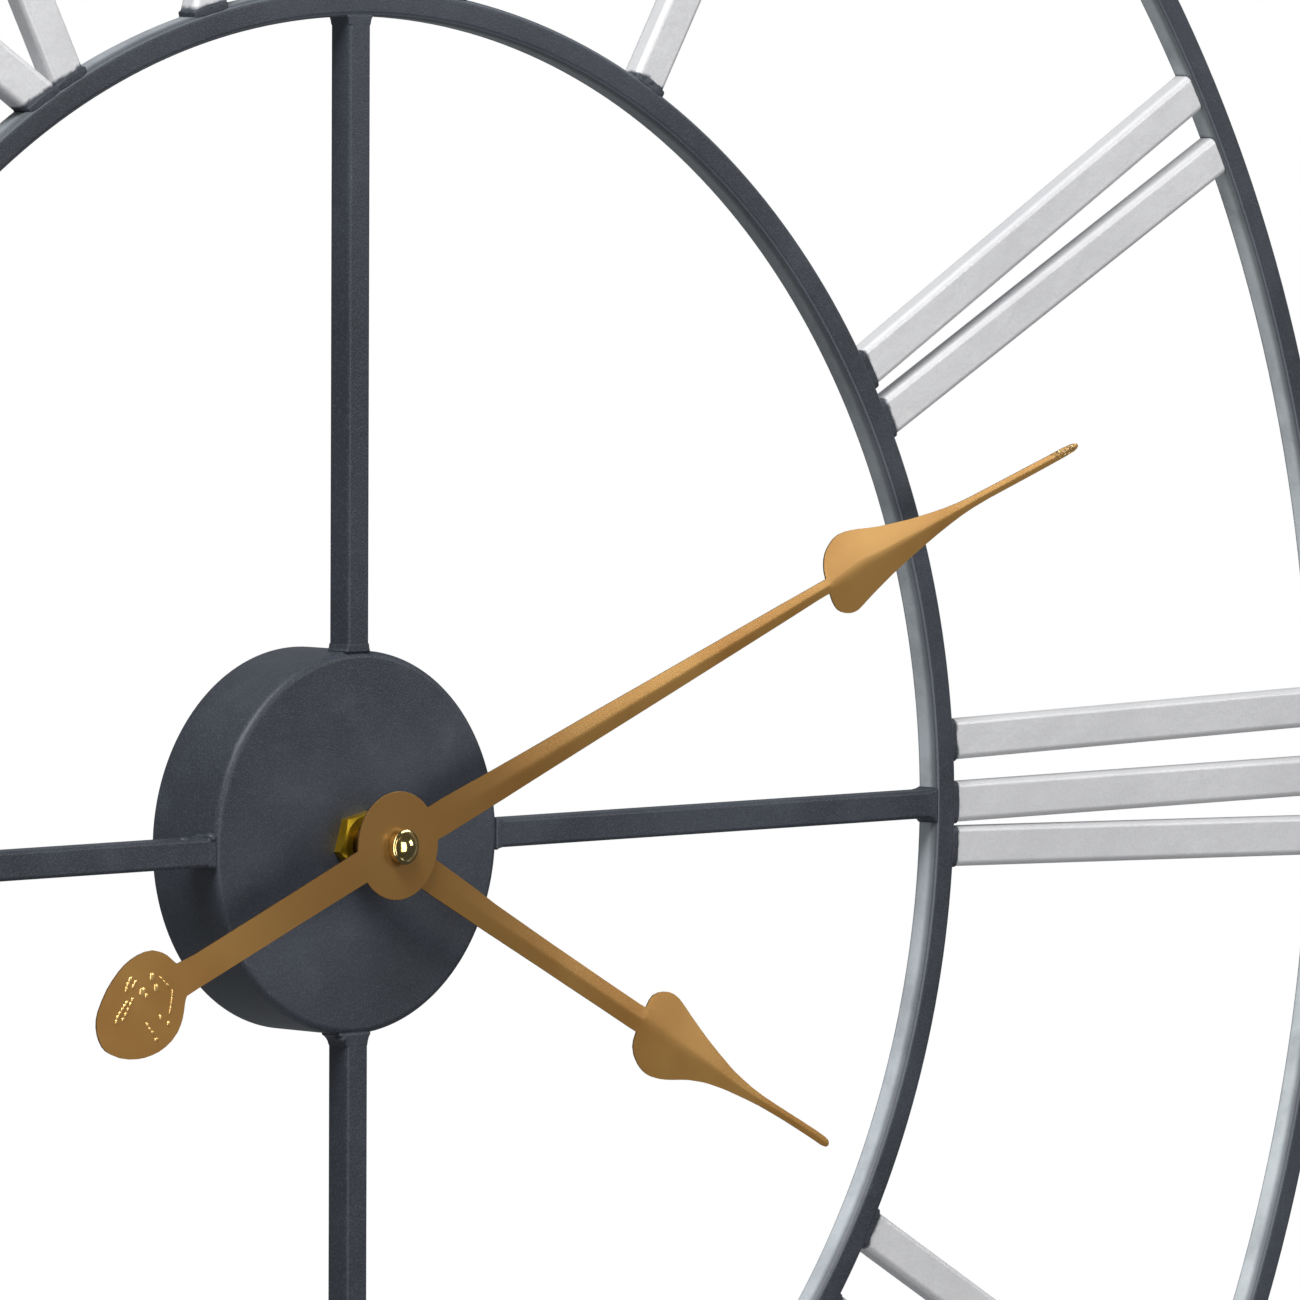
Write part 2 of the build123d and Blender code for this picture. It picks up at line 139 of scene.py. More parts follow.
class Finish:
    def __init__(self, name, world=False, **fixed):
        self.owner = (bpy.data.worlds if world else bpy.data.materials).new(name)
        self.owner.use_nodes = True
        self.tree = self.owner.node_tree
        self.shader = self.tree.nodes["Background" if world else "Principled BSDF"]
        for socket, value in fixed.items():
            self.shader.inputs[socket.replace("_", " ")].default_value = value
        self.place = self.node("ShaderNodeTexCoord", out="Generated" if world else "Object")

    def node(self, kind, settings=None, values=None, out=0):
        made = self.tree.nodes.new(kind)
        for name, value in (settings or {}).items():
            setattr(made, name, value)
        for socket, value in (values or {}).items():
            if isinstance(value, Wire):
                self.tree.links.new(value.socket, made.inputs[socket])
            else:
                made.inputs[socket].default_value = value
        return Wire(self, made.outputs[out])

    def feed(self, **wires):
        for socket, wire in wires.items():
            self.tree.links.new(wire.socket, self.shader.inputs[socket.replace("_", " ")])

    def noise(self, scale, detail, rough, vector=None):
        return self.node("ShaderNodeTexNoise", {}, {
            "Vector": vector or self.place, "Scale": scale, "Detail": detail, "Roughness": rough})

    def cells(self, scale):
        return self.node("ShaderNodeTexVoronoi", {}, {"Vector": self.place, "Scale": scale}, "Distance")

    def stretched(self, scale):  # coordinates drawn out along the axes with the smaller values
        return self.node("ShaderNodeMapping", {}, {"Vector": self.place, "Scale": scale})

    def axis(self, letter, vector=None):
        return self.node("ShaderNodeSeparateXYZ", {}, {"Vector": vector or self.place}, letter)

    def step(self, value, low, high, start=0.0, end=1.0):  # smooth change from start to end
        return self.node("ShaderNodeMapRange", {"interpolation_type": "SMOOTHSTEP"}, {
            "Value": value, "From Min": low, "From Max": high, "To Min": start, "To Max": end})

    def vector(self, operation, *values, out=0):
        return self.node("ShaderNodeVectorMath", {"operation": operation}, dict(enumerate(values)), out)

    def onDial(self):  # the place flattened onto the plane of the dial
        return self.vector("MULTIPLY", self.place, (1, 0, 1))

    def dialRadius(self):  # distance from the axis of the hands
        return self.vector("LENGTH", self.onDial(), out="Value")

    def radialFacing(self):  # 1 where the surface faces straight towards or away from that axis
        outward = self.vector("NORMALIZE", self.onDial())
        facing = self.node("ShaderNodeNewGeometry", out="Normal")
        return abs(self.vector("DOT_PRODUCT", outward, facing, out="Value"))

    def far(self, spot):  # distance from a point
        return self.vector("DISTANCE", self.place, spot, out="Value")

    def mix(self, mask, first, second):
        return self.node("ShaderNodeMix", {"data_type": "RGBA"}, {0: mask, 6: first, 7: second}, 2)

    def bump(self, *layers):  # (height in metres, wire), coarse first
        normal = None
        for depth, wire in layers:
            values = {"Height": wire, "Strength": 1.0, "Distance": depth}
            if normal:
                values["Normal"] = normal
            normal = self.node("ShaderNodeBump", {}, values)
        self.feed(Normal=normal)


def colour(text):  # "3a3e46" as it is seen, into the linear values Blender mixes
    parts = [int(text[i:i + 2], 16) / 255 for i in (0, 2, 4)]
    return (*[p / 12.92 if p <= 0.04045 else ((p + 0.055) / 1.055) ** 2.4 for p in parts], 1)


def assign(material, *names):
    for name in names:
        mesh = nodes[name].data
        if mesh.materials:
            for i in range(len(mesh.materials)):
                mesh.materials[i] = material
        else:
            mesh.materials.append(material)


# charcoal powder coat on rings, spokes, hub and hanger; the rings' sides carry silver overspray, thinned by
# painted shade near the front corner, and their rounded corners carry a lighter line of painted highlight
framePaintLook = {
    "dark": "26292f", "light": "33373e", "dust": "50545d", "wearAndHighlight": "858b93",
    "blotch": 0.00025, "grain": 0.00007,  # bump heights
    "edgeStart": 0.0006, "edgeEnd": 0.0026,  # how far behind the front the painted shade along the front corner starts to lift and where the overspray is full
}
innerOverspray = {"silver": "aab0b4", "least": 0.45, "most": 0.97, "low": -0.08, "high": 0.18}
outerOverspray = {"silver": "b4babd", "least": 0.92, "most": 0.97, "low": -0.1, "high": 0.1}


def mixFramePaint(name, look, overspray=None):
    finish = Finish(name, IOR=1.39 if overspray else 1.36)
    cloud = finish.noise(14, 4, 0.6)
    blotch = finish.noise(70, 3, 0.6)
    grain = finish.noise(2500, 2, 0.6)
    speck = finish.step(finish.cells(900), 0.1, 0.3, 1, 0)
    base = finish.mix(finish.step(cloud, 0.35, 0.68), colour(look["dark"]), colour(look["light"]))
    dusty = finish.step(blotch, 0.5, 0.85) * 0.2 + speck * 0.07 + finish.step(grain, 0.45, 0.72) * 0.28
    base = finish.mix(dusty, base, colour(look["dust"]))
    shine = 0.36 + 0.16 * cloud + 0.12 * grain
    if overspray:
        sideways = finish.radialFacing()
        # the silver cover is heavier low on the rings and thinner towards the top
        coverByHeight = finish.step(finish.axis("Z"), overspray["low"], overspray["high"],
                            overspray["most"], overspray["least"])
        patch = finish.step(finish.noise(55, 4, 0.7), 0.28, 0.6)
        # the silver thins towards the front edge of each side, painted shade for the dark line along the
        # rings' front corner
        frontCornerShade = finish.step(finish.axis("Y"), innerLow.y + look["edgeStart"],
                                 innerLow.y + look["edgeEnd"])
        cover = finish.step(sideways, 0.72, 0.96) * coverByHeight * (0.72 + 0.28 * patch) * (0.25 + 0.75 * frontCornerShade)
        # a lighter line along the rings' rounded corners, a painted highlight
        corner = finish.step(sideways, 0.3, 0.5) * finish.step(sideways, 0.62, 0.85, 1, 0)
        base = finish.mix(corner * 0.22, base, colour(look["wearAndHighlight"]))
        base = finish.mix(cover, base, colour(overspray["silver"]))
        shine = shine + 0.08 * cover
    finish.feed(Base_Color=base, Roughness=shine)
    finish.bump((look["blotch"], blotch), (look["grain"], grain))
    return finish.owner


# silver paint on the numerals, with the charcoal creeping onto each inner foot and a painted shadow line
# where each bar's outer end meets the outer ring
numeralPaintLook = {
    "silver": "c6c6c7", "shade": "bcbcbe", "flake": "d5d7da", "fine": "a2a2a5", "charcoal": "3a3e45",
    "creepAndHeadShadow": 0.0014, "headShadow": 0.0004,  # how far charcoal creeps up the inner foot, and how far the painted shadow line reaches at the outer end
    "wave": 0.0002, "grain": 0.00003,  # bump heights
}


def mixNumeralPaint(look):
    finish = Finish("numeralPaint", IOR=1.5)
    cloud = finish.noise(30, 4, 0.6)
    grain = finish.noise(1800, 2, 0.6)
    edge = finish.noise(260, 3, 0.6)
    reach = finish.dialRadius() - innerRadius - (edge - 0.35) * 0.0022
    creepAndHeadShadow = finish.step(reach, look["creepAndHeadShadow"] * 0.6, look["creepAndHeadShadow"] * 1.3, 1, 0)
    # a painted shadow line where the bar's outer end meets the outer ring
    toRing = outerRadius - barSize - finish.dialRadius() - (edge - 0.5) * 0.0004
    creepAndHeadShadow = creepAndHeadShadow.larger(finish.step(toRing, look["headShadow"] * 0.6, look["headShadow"] * 1.4, 1, 0))
    silver = finish.mix(finish.step(cloud, 0.3, 0.75), colour(look["silver"]), colour(look["shade"]))
    flake = finish.step(finish.cells(2600), 0.05, 0.35, 1, 0)
    silver = finish.mix(flake * 0.2, silver, colour(look["flake"]))
    silver = finish.mix(finish.step(grain, 0.4, 0.7) * 0.18, silver, colour(look["fine"]))
    finish.feed(Base_Color=finish.mix(creepAndHeadShadow, silver, colour(look["charcoal"])),
                Roughness=0.42 + 0.14 * cloud + 0.06 * grain,
                Metallic=0.35 - 0.35 * creepAndHeadShadow)
    finish.bump((look["wave"], finish.noise(110, 3, 0.6)), (look["grain"], grain))
    return finish.owner


# gold paint on the two hands and the beading, with a painted dark reflection round the boss, painted glints
# on the ragged long tip and painted shade on the sheet's edges
handAngle = {"hour_hand": 119.05, "minute_hand": 68.5}  # degrees from twelve
handGoldLook = {
    "gold": "ad8449", "deep": "9c7038", "bossDarkReflection": "7c5a2b", "glint": "f2d9a4", "edge": "4a3417",
    "metal": 0.5, "gloss": 0.33,
}
# a lighter, glossier copy of the gold for the beading, a painted highlight for its glints
beadGlintGoldLook = {
    "gold": "e6c07c", "deep": "d8ae68", "bossDarkReflection": "c89c58", "glint": "fff0c8", "edge": "b08a4c",
    "metal": 0.6, "gloss": 0.16,
}
raggedGlintTip = {"distance": 0.2145, "ragged": 0.006, "clear": 0.009, "height": 0.0003}


def handSpot(name, distance):  # a point on a hand's front, that far from the axis
    low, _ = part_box(name)
    turn = math.radians(handAngle[name])
    return (math.sin(turn) * distance, low.y, math.cos(turn) * distance)


def mixHandGold(name, look):
    finish = Finish(name, IOR=1.5)
    cloud = finish.noise(40, 3, 0.5)
    tip = handSpot("minute_hand", raggedGlintTip["distance"])
    onTip = finish.step(finish.far(tip), raggedGlintTip["ragged"], raggedGlintTip["clear"], 1, 0)
    ragged = finish.step(finish.noise(900, 3, 0.7), 0.5, 0.62) * onTip
    fromBoss = finish.step(finish.dialRadius(), 0.012, 0.09)
    gilt = finish.mix(finish.step(cloud, 0.3, 0.7), colour(look["gold"]), colour(look["deep"]))
    # darker gold round the boss, a painted reflection of the dark room
    gilt = finish.mix((1 - fromBoss) * 0.85, gilt, colour(look["bossDarkReflection"]))
    # bright marks on the ragged tip, painted glints
    gilt = finish.mix(ragged * 0.5, gilt, colour(look["glint"]))
    # the sheet's edges darker, painted shade
    facing = finish.axis("Y", finish.node("ShaderNodeNewGeometry", out="Normal"))
    gilt = finish.mix(finish.step(abs(facing), 0.25, 0.7, 1, 0) * 0.8, gilt, colour(look["edge"]))
    finish.feed(Base_Color=gilt,
                Roughness=look["gloss"] + 0.06 * cloud - 0.1 * ragged,
                Metallic=look["metal"] + 0.08 * cloud)
    finish.bump((raggedGlintTip["height"], ragged))
    return finish.owner


# polished brass of the cap nut and hex nut, and a near-black copy of it on the bush and collet, painted shade
# where they sit in shadow
def mixBrass(name, dull, bright, tarnish):
    finish = Finish(name, IOR=1.5)
    radius = finish.dialRadius()
    rings = finish.noise(1.0, 2, 0.7, finish.node("ShaderNodeCombineXYZ", {}, {
        0: radius * 9000, 1: finish.axis("Y") * 2600, 2: 0.0}))
    stain = finish.noise(420, 3, 0.6)
    finish.feed(Base_Color=finish.mix(finish.step(stain, 0.4, 0.75), colour(bright), colour(tarnish)),
                Roughness=dull + 0.1 * stain + 0.05 * rings,
                Metallic=1.0 - 0.05 * stain)
    finish.bump((0.000004, rings), (0.00001, stain))
    return finish.owner


# moulded plastics
def mixPlastic(name, main, wearAndHighlight, gloss, grain):
    finish = Finish(name, IOR=1.46)
    cloud = finish.noise(60, 3, 0.6)
    spark = finish.noise(3200, 2, 0.7)
    scuff = finish.step(finish.noise(900, 4, 0.75, finish.stretched((1, 0.15, 0.35))), 0.6, 0.72)
    finish.feed(Base_Color=finish.mix(cloud * 0.6 + scuff * 0.3, colour(main), colour(wearAndHighlight)),
                Roughness=gloss + 0.14 * cloud + 0.1 * scuff)
    finish.bump((0.00006, cloud), (grain, spark))
    return finish.owner


def mixRubber():
    finish = Finish("rubber", IOR=1.5)
    cloud = finish.noise(120, 4, 0.7)
    grain = finish.noise(2400, 3, 0.7)
    finish.feed(Base_Color=finish.mix(cloud, colour("141414"), colour("2a2a29")),
                Roughness=0.7 + 0.2 * grain)
    finish.bump((0.00008, cloud), (0.00004, grain))
    return finish.owner


def mixContactSteel():
    finish = Finish("contactSteel", IOR=1.5)
    brush = finish.noise(700, 4, 0.7, finish.stretched((1, 1, 0.04)))
    stain = finish.noise(200, 3, 0.6)
    finish.feed(Base_Color=finish.mix(stain, colour("c9c8c2"), colour("a8a598")),
                Roughness=0.2 + 0.2 * brush, Metallic=1.0 - 0.08 * stain)
    finish.bump((0.00002, brush))
    return finish.owner


# battery: a plain two-colour sleeve with bare steel ends
def mixBatterySleeve():
    finish = Finish("batterySleeve", IOR=1.5, Coat_Roughness=0.12)
    low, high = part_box("battery_cell")
    along = (finish.axis("X") - low.x) / (high.x - low.x)
    wrinkle = finish.noise(260, 3, 0.6, finish.stretched((0.2, 1, 1)))
    copper = finish.step(along, 0.70, 0.705)
    ends = finish.step(along, 0.965, 0.97).larger(finish.step(along, 0.015, 0.02, 1, 0))
    line = finish.step(abs(along - 0.70), 0.004, 0.006, 1, 0)
    sleeve = finish.mix(copper, colour("1d1f22"), colour("b06a33"))
    sleeve = finish.mix(line, sleeve, colour("d8d6cf"))
    finish.feed(Base_Color=finish.mix(ends, sleeve, colour("c4c3be")),
                Roughness=0.24 + 0.2 * wrinkle,
                Metallic=(copper * 0.7).larger(ends),
                Coat_Weight=0.6 - 0.6 * ends)
    finish.bump((0.00003, wrinkle))
    return finish.owner


framePaint = mixFramePaint("framePaint", framePaintLook)
innerRingPaint = mixFramePaint("innerRingPaint", framePaintLook, innerOverspray)
outerRingPaint = mixFramePaint("outerRingPaint", framePaintLook, outerOverspray)
numeralPaint = mixNumeralPaint(numeralPaintLook)
handGold = mixHandGold("handGold", handGoldLook)
beadGlintGold = mixHandGold("beadGlintGold", beadGlintGoldLook)
brass = mixBrass("brass", 0.26, "f2c838", "c89a26")
# a near-black copy of the brass for the bush and collet, painted shade where they sit in shadow
paintedShadeBrass = mixBrass("paintedShadeBrass", 0.3, "4a3a16", "2c220d")
polishedBrass = mixBrass("polishedBrass", 0.03, "d9c489", "b59a55")
casePlastic = mixPlastic("casePlastic", "17181a", "2c2e31", 0.42, 0.00003)
gearPlastic = mixPlastic("gearPlastic", "ddd8c8", "c6bfa9", 0.32, 0.000008)
knobPlastic = mixPlastic("knobPlastic", "4d5157", "686c72", 0.38, 0.00002)
rubber = mixRubber()
contactSteel = mixContactSteel()
batterySleeve = mixBatterySleeve()

spokes = ("spoke_top", "spoke_right", "spoke_bottom", "spoke_left")
assign(framePaint, "hub_cup", "hanger_bracket", *spokes)
assign(numeralPaint, *[f"numeral_{hour:02d}" for hour in range(1, 13)])
assign(brass, "hex_nut")
assign(paintedShadeBrass, "threaded_bush", "hour_collet")
assign(casePlastic, "movement_front_case", "movement_rear_case")
assign(gearPlastic, "hour_wheel", "motion_wheel", "minute_arbor")
assign(knobPlastic, "setting_knob")
assign(rubber, "rubber_washer")
assign(contactSteel, "contact_plus", "contact_minus")
assign(batterySleeve, "battery_cell")
print("finishes mixed")


# modelling helpers: everything is deselected, then picked by place in edit mode
def startFresh():
    if bpy.context.object and bpy.context.object.mode != "OBJECT":
        bpy.ops.object.mode_set(mode="OBJECT")
    bpy.ops.object.select_all(action="DESELECT")


def openEdit(kind="VERT"):
    bpy.ops.object.mode_set(mode="EDIT")
    bpy.ops.mesh.select_mode(type=kind)
    bpy.ops.mesh.select_all(action="DESELECT")


def pick(test):  # selects the corners whose place passes the test
    mesh = bmesh.from_edit_mesh(bpy.context.object.data)
    for corner in mesh.verts:
        corner.select_set(bool(test(corner.co)))
    mesh.select_flush_mode()
    bmesh.update_edit_mesh(bpy.context.object.data)


def pushOut(move):
    bpy.ops.mesh.extrude_region_move(TRANSFORM_OT_translate={"value": move})


def closeUp():  # doubles merged, faces turned outwards
    bpy.ops.mesh.select_all(action="SELECT")
    bpy.ops.mesh.remove_doubles(threshold=0.000004)
    bpy.ops.mesh.normals_make_consistent(inside=False)
    bpy.ops.object.mode_set(mode="OBJECT")


def applyModifier(piece, kind, **settings):
    modifier = piece.modifiers.new(kind.title(), kind)
    for name, value in settings.items():
        setattr(modifier, name, value)
    bpy.ops.object.modifier_apply(modifier=modifier.name)


def joinPieces(pieces):
    startFresh()
    for piece in pieces:
        piece.select_set(True)
    bpy.context.view_layer.objects.active = pieces[0]
    bpy.ops.object.join()


def finishPiece(piece, name, material, body, slot, *stoodFor):
    startFresh()
    piece.select_set(True)
    bpy.context.view_layer.objects.active = piece
    bpy.ops.object.transform_apply(location=True, rotation=True, scale=True)
    bpy.ops.object.shade_smooth_by_angle(angle=math.radians(35))
    applyModifier(piece, "WEIGHTED_NORMAL", mode="FACE_AREA", keep_sharp=True)
    piece.name = piece.data.name = name
    piece.data.materials.clear()
    piece.data.materials.append(material)
    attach(piece, body)
    if stoodFor:
        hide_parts(*stoodFor)
    return piece


# the two rings, rolled from square bar with softly rounded corners
ringLook = {"corner": 0.0012, "cornerSteps": 4, "steps": 300}


def rollRing(name, node, paint, look):
    low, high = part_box(node)
    startFresh()
    middle = (high.x - barSize / 2, (low.y + high.y) / 2, 0)
    bpy.ops.mesh.primitive_plane_add(size=barSize, location=middle)
    ring = bpy.context.active_object
    bpy.ops.object.transform_apply(location=True, rotation=False, scale=False)
    bpy.ops.object.mode_set(mode="EDIT")
    bpy.ops.mesh.select_all(action="SELECT")
    bpy.ops.mesh.bevel(offset=look["corner"], segments=look["cornerSteps"], affect="VERTICES")
    bpy.ops.mesh.select_all(action="SELECT")
    bpy.ops.mesh.delete(type="ONLY_FACE")
    bpy.ops.mesh.select_all(action="SELECT")
    bpy.ops.mesh.spin(steps=look["steps"], angle=2 * math.pi, center=(0, 0, 0), axis=(0, 1, 0))
    closeUp()
    finishPiece(ring, name, paint, "frame", "frame_paint", node)


rollRing("innerRingRolled", "inner_ring", innerRingPaint, ringLook)
rollRing("outerRingRolled", "outer_ring", outerRingPaint, ringLook)
print("rings rolled")


# welds: a bead round the foot of each bar, and flared corners where the spokes meet hub and ring
footWeldLook = {
    "wide": 4.62, "deep": 2.78, "rise": 0.9, "sunk": 0.9, "crown": 0.45, "ripple": 0.3,
    "feet": [28.3, 57.8, 61.8, 85.6, 90.0, 93.1, 120.9, 186.3, 206.8, 214.6, 218.3, 242.4, 246.1,
             249.8, 261.6, 333.5, 364.7, 368.5],  # degrees from twelve, bars that stand straight
    "vees": [129.2, 150, 178.5, 206.8, 234.6], "veeSpread": 1.6,
    "crosses": [272.2, 300, 323.4, 354], "crossSpread": 7.4,
}


def growBead(look, name, rise, ripple):  # one bead at twelve, its back sunk in the ring
    middle = (innerLow.y + innerHigh.y) / 2
    startFresh()
    bpy.ops.mesh.primitive_cube_add(
        size=1, location=(0, middle, innerRadius + (rise - look["sunk"]) * mm / 2),
        scale=(2 * look["wide"] * mm, 2 * look["deep"] * mm, (rise + look["sunk"]) * mm))
    bead = bpy.context.active_object
    bead.name = name
    bpy.ops.object.transform_apply(location=True, rotation=True, scale=True)
    openEdit()
    bpy.ops.mesh.select_all(action="SELECT")
    bpy.ops.mesh.subdivide(number_cuts=3)
    for reach in (0.9, 0.6, 0.3):  # the middle of the bead stands higher than its ends
        pick(lambda spot: spot.z > innerRadius + rise * mm * 0.9
             and abs(spot.x) < look["wide"] * reach * mm)
        bpy.ops.transform.translate(value=(0, 0, look["crown"] * mm / 3))
    bpy.ops.object.mode_set(mode="OBJECT")
    applyModifier(bead, "SUBSURF", levels=2, render_levels=2)
    puddle = bpy.data.textures.new(name, "CLOUDS")
    puddle.noise_scale = 0.0022
    applyModifier(bead, "DISPLACE", texture=puddle, strength=ripple * mm, mid_level=0.5)
    return bead


def layFootWelds(look):
    feet = [(angle, 1.0) for angle in look["feet"]]
    feet += [(angle + side * look["veeSpread"], 0.99) for angle in look["vees"] for side in (-1, 1)]
    feet += [(angle + side * look["crossSpread"], 1.06) for angle in look["crosses"] for side in (-1, 1)]
    raw = growBead(look, "rawWeld", look["rise"] + 0.3, 1.0)  # the foot of the I is left rougher
    bead = growBead(look, "footWeld", look["rise"], look["ripple"])
    laid = []
    for count, (angle, stretch) in enumerate(feet):
        startFresh()
        (raw if count == 0 else bead).select_set(True)
        bpy.context.view_layer.objects.active = raw if count == 0 else bead
        bpy.ops.object.duplicate(linked=False)
        copy = bpy.context.active_object
        copy.scale = (stretch * (1 + 0.03 * math.sin(count * 2.3)), 1, 1 + 0.0012 * math.sin(count * 1.7))
        copy.rotation_euler = (0, math.radians(angle), 0)
        bpy.ops.object.transform_apply(location=True, rotation=True, scale=True)
        laid.append(copy)
    startFresh()
    raw.select_set(True)
    bead.select_set(True)
    bpy.ops.object.delete()
    joinPieces(laid)
    finishPiece(laid[0], "footWelds", framePaint, "frame", "frame_paint")
    print(len(laid), "foot welds laid")


layFootWelds(footWeldLook)

spokeWeldLook = {
    "curve": [(-0.25, 1.0), (0.0, 0.92), (0.12, 0.66), (0.28, 0.42), (0.5, 0.2), (0.75, 0.07), (1.0, 0.0)],
    "proud": 0.03, "corner": 0.8,
    "joints": [  # degrees from twelve, at the hub or not, flare on the two sides, reach
        (0, True, 0.5, 0.3, 1.6), (90, True, 0.45, 0.45, 1.6),
        (180, True, 1.0, 2.2, 2.8), (270, True, 0.4, 0.6, 2.0),
        (0, False, 0.7, 0.7, 2.0), (90, False, 0.6, 1.3, 2.8),
        (180, False, 0.9, 0.9, 2.4), (270, False, 0.9, 0.7, 2.4)],
}


def flareSpoke(look, atHub, less, more, reach):  # less anticlockwise, more clockwise
    joint, outward = (hubRadius, 1) if atHub else (innerRadius - barSize, -1)
    middle = (innerLow.y + innerHigh.y) / 2
    bar = barSize / mm + 0.04
    place, share = look["curve"][0]
    wide, aside = bar + (less + more) * share, (more - less) * share / 2
    startFresh()
    foot = (aside * mm, middle, joint + outward * place * reach * mm)
    bpy.ops.mesh.primitive_plane_add(size=1, location=foot)
    flare = bpy.context.active_object
    bpy.ops.object.transform_apply(location=True, rotation=True, scale=True)
    openEdit("FACE")
    bpy.ops.mesh.select_all(action="SELECT")
    bpy.ops.transform.resize(value=(wide * mm, barSize + 2 * look["proud"] * mm, 1),
                             center_override=(aside * mm, middle, joint))
    for nextPlace, share in look["curve"][1:]:
        nextWide, nextAside = bar + (less + more) * share, (more - less) * share / 2
        pushOut(((nextAside - aside) * mm, 0, outward * (nextPlace - place) * reach * mm))
        bpy.ops.transform.resize(value=(nextWide / wide, 1, 1),
                                 center_override=(nextAside * mm, middle, joint))
        place, wide, aside = nextPlace, nextWide, nextAside
    bpy.ops.mesh.select_all(action="SELECT")
    bpy.ops.mesh.normals_make_consistent(inside=False)
    bpy.ops.object.mode_set(mode="OBJECT")
    applyModifier(flare, "BEVEL", width=look["corner"] * mm, segments=3, limit_method="ANGLE",
                  angle_limit=math.radians(70))
    return flare


def layLump(spot, size):  # a drop of weld on a bar
    startFresh()
    bpy.ops.mesh.primitive_cube_add(size=1, location=[v * mm for v in spot], scale=[v * mm for v in size])
    lump = bpy.context.active_object
    bpy.ops.object.transform_apply(location=True, rotation=True, scale=True)
    applyModifier(lump, "SUBSURF", levels=3, render_levels=3)
    return lump


def laySpokeWelds(look):
    laid = []
    for turn, *joint in look["joints"]:
        flare = flareSpoke(look, *joint)
        flare.rotation_euler = (0, math.radians(turn), 0)
        bpy.ops.object.transform_apply(location=True, rotation=True, scale=True)
        laid.append(flare)
    front = innerLow.y / mm
    hub = hubRadius / mm
    laid.append(layLump((-hub - 7.6, front + 1.2, 2.7), (3.4, 2.6, 2.2)))
    laid.append(layLump((-hub - 0.7, front + 1.0, 3.0), (2.6, 3.4, 2.6)))
    laid.append(layLump((-3.6, front + 1.2, -hub - 0.6), (2.8, 3.2, 2.6)))
    joinPieces(laid)
    finishPiece(laid[0], "spokeWelds", framePaint, "frame", "frame_paint")
    print("spoke welds laid")


laySpokeWelds(spokeWeldLook)


# hands: a folded strip drawn out station by station, on a round boss
columns = (0.16, 0.5, 1.0)  # half the strip's columns, as shares of its half width
ridgeSoftness = 0.006  # rounds the fold's ridge
edgeRound = {"strip": 0.00009, "boss": 0.0001}
hourHandLook = {
    "boss": 10.4, "bossShift": (0, 0), "hole": 2.6,
    "flat": 14, "folded": 60, "fold": 7.5, "sheet": 0.4,
    "stations": [  # distance from the axis, half width, sideways shift
        (-4, 3.5, 0.5), (0, 3.5, 0.6), (14, 3.51, 0.85), (24, 3.33, 0.87), (32, 3.11, 0.95),
        (40, 3.03, 0.88), (50, 2.93, 0.8), (60, 2.89, 0.72), (70, 2.83, 0.64), (80, 2.83, 0.55),
        (81.8, 2.85, 0.45), (82.18, 4.76, 0.35), (82.77, 6.06, 0.3), (84.05, 7.33, 0.32), (85.15, 8.01, 0.3),
        (86.23, 8.51, 0.32), (87.28, 8.86, 0.33), (88.3, 9.03, 0.36), (89.31, 9.09, 0.41),
        (90.3, 9.01, 0.46), (91.27, 8.82, 0.53), (93.19, 8.24, 0.63), (95.08, 7.51, 0.65),
        (96.97, 6.74, 0.55), (98.85, 5.94, 0.42), (100.74, 5.18, 0.32), (102.65, 4.56, 0.27),
        (104.57, 3.96, 0.22), (106.49, 3.43, 0.24), (108.43, 3.01, 0.27), (110.36, 2.56, 0.33),
        (112.31, 2.21, 0.36), (115.26, 1.82, 0.36), (118.21, 1.48, 0.33), (122.16, 1.19, 0.2),
        (126.15, 1.09, 0.05), (130.14, 1.03, -0.1), (135.14, 1.04, -0.25), (140.14, 1.04, -0.35),
        (143.14, 1.02, -0.32), (144.32, 0.8, -0.3), (144.67, 0.45, -0.3), (144.78, 0.2, -0.3)],
}
